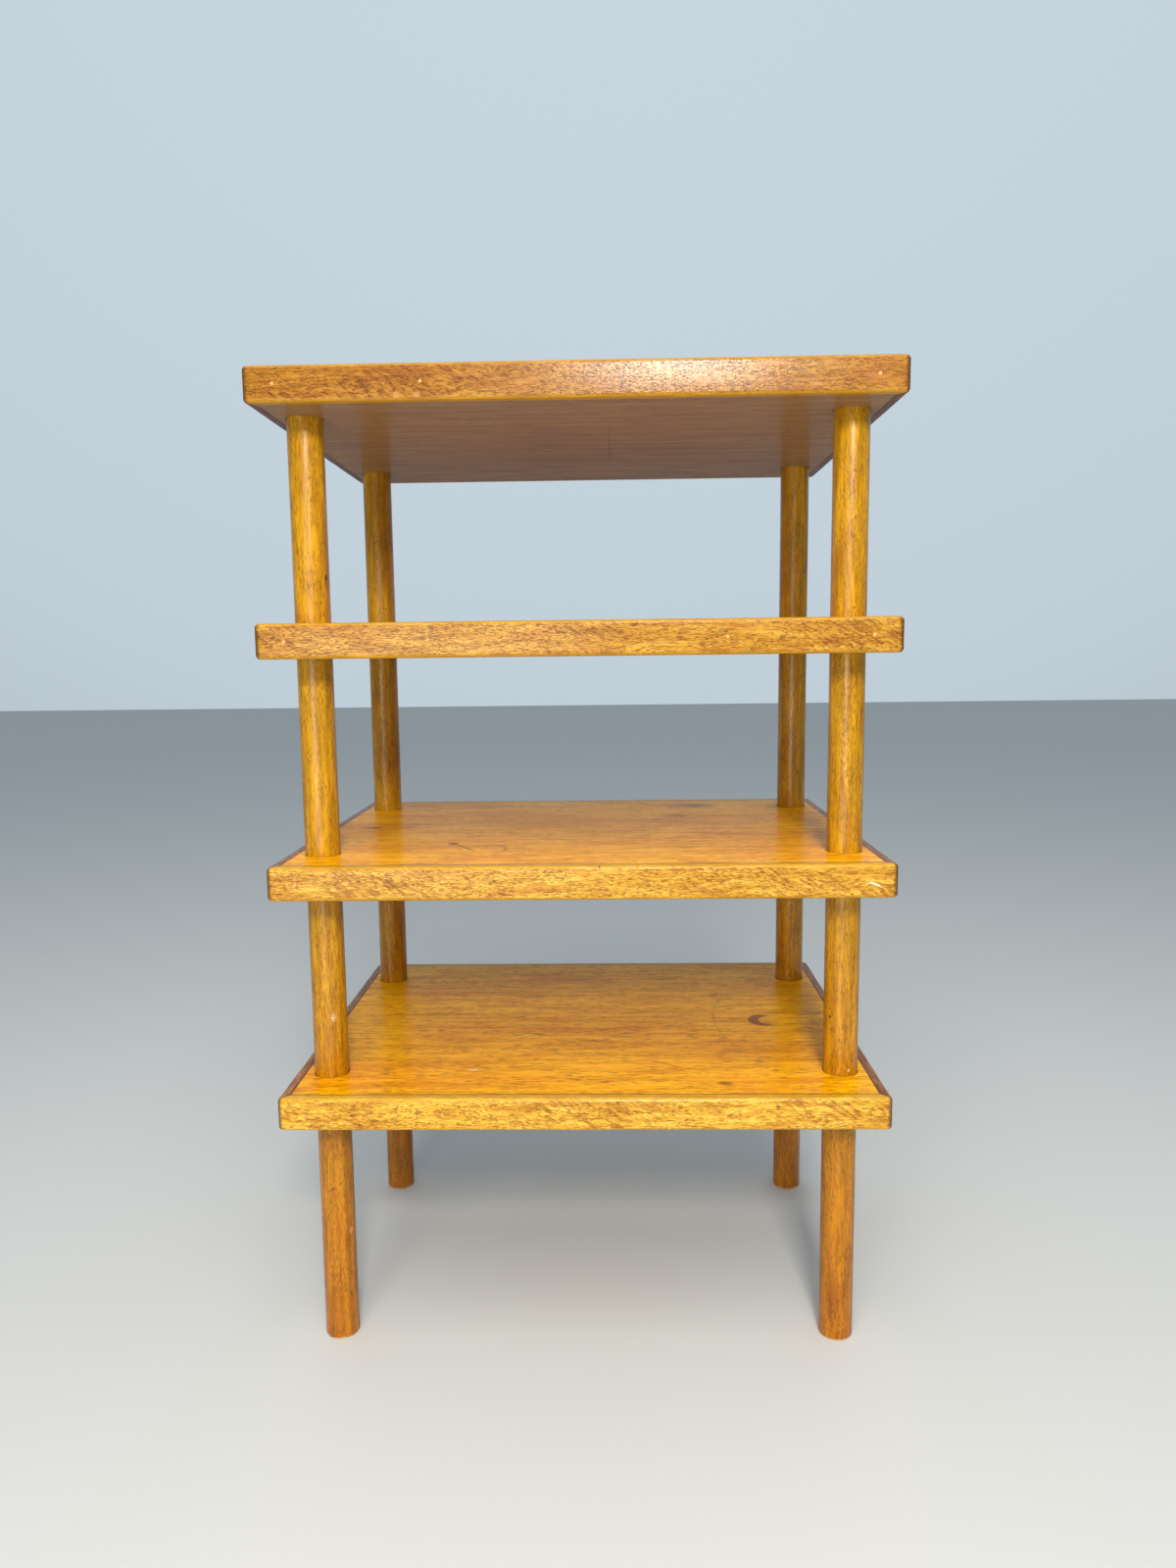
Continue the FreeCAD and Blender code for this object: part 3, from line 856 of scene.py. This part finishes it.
def makePosts():
    low, high = firstPostLow, firstPostHigh
    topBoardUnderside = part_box("shelf_4_core")[0].z
    post = addRod("turned_post", (0, 0, low.z), high.z - low.z, postRadius, postCut["sides"])
    openMesh(post)
    pick("EDGE", lambda edge: abs(ends(edge)[0].z - ends(edge)[1].z) < tiny)
    bpy.ops.mesh.bevel(offset=postCut["endEase"], segments=postCut["easeSteps"])
    pick("EDGE", lambda edge: abs(ends(edge)[0].z - ends(edge)[1].z) > (high.z - low.z) / 2)
    bpy.ops.mesh.subdivide(number_cuts=postCut["stations"])
    closeMesh()

    shank = post.vertex_groups.new(name="shank")
    rim = post.vertex_groups.new(name="rim")
    for vertex in post.data.vertices:
        if low.z + postCut["endEase"] < vertex.co.z < topBoardUnderside:
            shank.add([vertex.index], 1.0, "REPLACE")
        fromFloor = vertex.co.z - low.z
        fromSide = postRadius - vertex.co.xy.length
        if max(fromFloor, fromSide) < postCut["endEase"] - tiny:
            rim.add([vertex.index], 1.0, "REPLACE")
    wobble = bpy.data.textures.new("dowel_wobble", type="CLOUDS")
    wobble.noise_scale = postCut["wobbleLength"]
    applied(post, "DISPLACE", texture=wobble, texture_coords="LOCAL", vertex_group="shank",
            strength=postCut["wobble"], mid_level=1.0)
    chips = bpy.data.textures.new("foot_chips", type="CLOUDS")
    chips.noise_scale = postCut["chipSize"]
    applied(post, "DISPLACE", texture=chips, texture_coords="LOCAL", vertex_group="rim",
            strength=postCut["chipDepth"], mid_level=postCut["chipLevel"])
    for name, turn in zip(postNames, postCut["turns"]):
        boxLow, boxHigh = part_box(name)
        twin = copyOf(post, name.replace("post", "dowel_post"))
        twin.location = ((boxLow.x + boxHigh.x) / 2, (boxLow.y + boxHigh.y) / 2, 0)
        twin.rotation_euler.z = math.radians(turn)
        bpy.ops.object.transform_apply(location=True, rotation=True, scale=True)
        smoothShade(twin)
        fit(twin, postWood, "post_dowel", name)
    throwAway(post)


makePosts()
print("posts made")


# Brads stay as they are, inside the wood

for shelf in shelfNumbers:
    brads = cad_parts[f"shelf_{shelf}_brads"]
    brads.data.materials.clear()
    brads.data.materials.append(steel)


# Floor, light and camera

stageLook = {
    "floorSize": 16.0, "floorColour": "#c6c8c8", "floorRoughness": 0.8,
    "palest": (0, 0.75, 0.66),   # the way to the palest part of the backdrop: behind the rack and above it
    "backdrop": [(0.0, "#3c3e40"), (0.45, "#5e6468"), (0.85, "#c0ced8"), (1.0, "#c8d6e0")],
}


def matteFloor():
    material, tree = newMaterial("matte_pale_floor")
    shader = addNode(tree, "BsdfPrincipled", {"Base Color": linearColour(stageLook["floorColour"]),
                                              "Roughness": stageLook["floorRoughness"]})
    addNode(tree, "OutputMaterial", {}, {"Surface": shader})
    return material


clearSelection()
bpy.ops.mesh.primitive_plane_add(size=stageLook["floorSize"], location=(0, 0, cadLow.z))
floor = bpy.context.object
floor.name = "studio_floor"
floor.data.materials.append(matteFloor())

# a pale backdrop behind and above the rack, and a dimmer room in front of it
world = bpy.data.worlds.new("pale_studio")
bpy.context.scene.world = world
world.use_nodes = True
sky = world.node_tree
sky.nodes.clear()
direction = addNode(sky, "TexCoord", output="Generated")
towardsPalest = addNode(sky, "VectorMath", {"operation": "DOT_PRODUCT", 1: stageLook["palest"]},
                        {0: direction}, output="Value")
share = addNode(sky, "MapRange", {"From Min": -1.0, "From Max": 1.0}, {"Value": towardsPalest})
tone = addNode(sky, "ValToRGB", {}, {"Fac": share}, ramp=stageLook["backdrop"])
glow = addNode(sky, "Background", {"Strength": 1.0}, {"Color": tone})
addNode(sky, "OutputWorld", {}, {"Surface": glow})

# a high key a little to the right, a lower and weaker one to the left, and a broad soft one overhead
lights = [
    {"name": "key", "at": (0.12, -1.25, 0.93), "aim": (0, 0, 0.25), "size": 0.22, "power": 16.0,
     "colour": "#fff6ea"},
    {"name": "left_fill", "at": (-0.30, -1.40, 0.30), "aim": (0, 0, 0.15), "size": 0.55, "power": 7.5,
     "colour": "#fff6ea"},
    {"name": "overhead", "at": (0.0, -1.1, 1.9), "aim": (0, 0.1, 0.1), "size": 1.2, "power": 24.0,
     "colour": "#fffaf2"},
]
for light in lights:
    lamp = bpy.data.lights.new(light["name"], type="AREA")
    lamp.size = light["size"]
    lamp.energy = light["power"]
    lamp.color = linearColour(light["colour"])[:3]
    holder = bpy.data.objects.new(light["name"], lamp)
    bpy.context.scene.collection.objects.link(holder)
    holder.location = light["at"]
    aim = Vector(light["aim"]) - Vector(light["at"])
    holder.rotation_euler = aim.to_track_quat("-Z", "Y").to_euler()

cameraLook = {
    "lens": 24.1, "sensor": 36,     # millimetres
    "at": (0.0176, -0.687, 0.410), "nearest": 0.01,
    "yaw": -1.318, "pitch": -7.0, "roll": -0.656,     # degrees
}


def placeCamera():
    yaw, pitch, roll = (math.radians(cameraLook[k]) for k in ("yaw", "pitch", "roll"))
    ahead = Vector((math.sin(yaw) * math.cos(pitch), math.cos(yaw) * math.cos(pitch), math.sin(pitch)))
    level = Vector((math.cos(yaw), -math.sin(yaw), 0))
    up = level.cross(ahead)
    right = math.cos(roll) * level + math.sin(roll) * up
    above = right.cross(ahead)
    camera = bpy.data.objects.new("camera", bpy.data.cameras.new("camera"))
    bpy.context.scene.collection.objects.link(camera)
    camera.data.lens = cameraLook["lens"]
    camera.data.sensor_width = cameraLook["sensor"]
    camera.data.clip_start = cameraLook["nearest"]
    axes = Matrix((right, above, -ahead)).transposed().to_4x4()
    camera.matrix_world = Matrix.Translation(cameraLook["at"]) @ axes
    bpy.context.scene.camera = camera


placeCamera()
bpy.context.scene.view_settings.view_transform = "Standard"   # keeps the amber as deep as it is
print("stage set")
